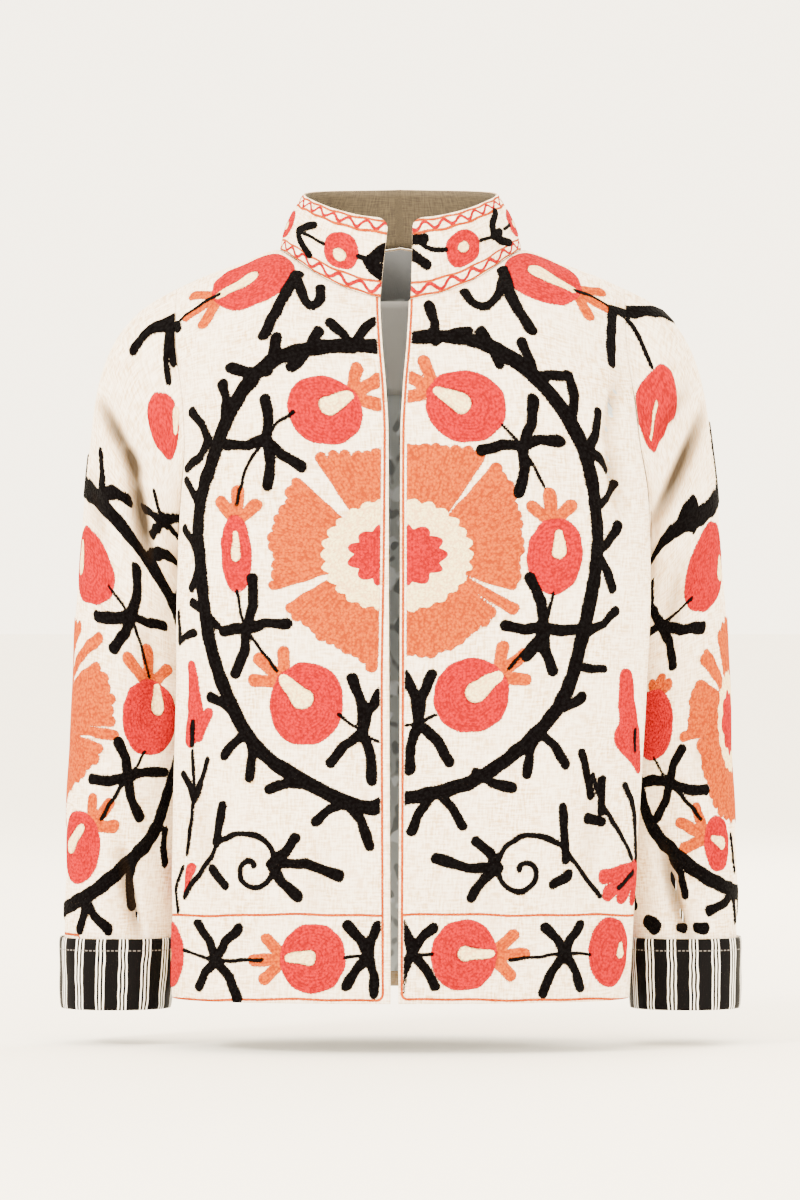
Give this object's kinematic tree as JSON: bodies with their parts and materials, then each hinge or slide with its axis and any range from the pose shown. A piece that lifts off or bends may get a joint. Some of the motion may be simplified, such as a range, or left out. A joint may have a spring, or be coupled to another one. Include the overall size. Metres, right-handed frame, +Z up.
{
  "type": "embroidered open-front jacket",
  "caption": "Open-front cloth jacket with a stand collar, long straight sleeves and striped turned-up cuffs, filled out as when worn.",
  "frame": {"origin": "between the two neck points, level with the front ends of the shoulder seams, where the wearer's shoulders carry the jacket", "axes": "+Z up, -Y towards the front of the wearer, +X towards the wearer's left, which is the viewer's right"},
  "size_m": [0.582, 0.2329, 0.6997],
  "materials": {
    "embroidered_cotton": "matt ecru slub cotton, chain-stitched in black, coral, orange and cream wool",
    "striped_satin": "black satin with groups of three white stripes",
    "grey_lining": "grey lining with a blotched print",
    "label_satin": "bare light grey woven label"
  },
  "bodies": {
    "root": {"front_left": "embroidered_cotton", "front_right": "embroidered_cotton", "back": "embroidered_cotton", "sleeve_left": "embroidered_cotton", "sleeve_right": "embroidered_cotton", "collar": "embroidered_cotton", "cuff_left": "striped_satin", "cuff_right": "striped_satin", "lining_back": "grey_lining", "neck_label": "label_satin"}
  },
  "joints": []
}
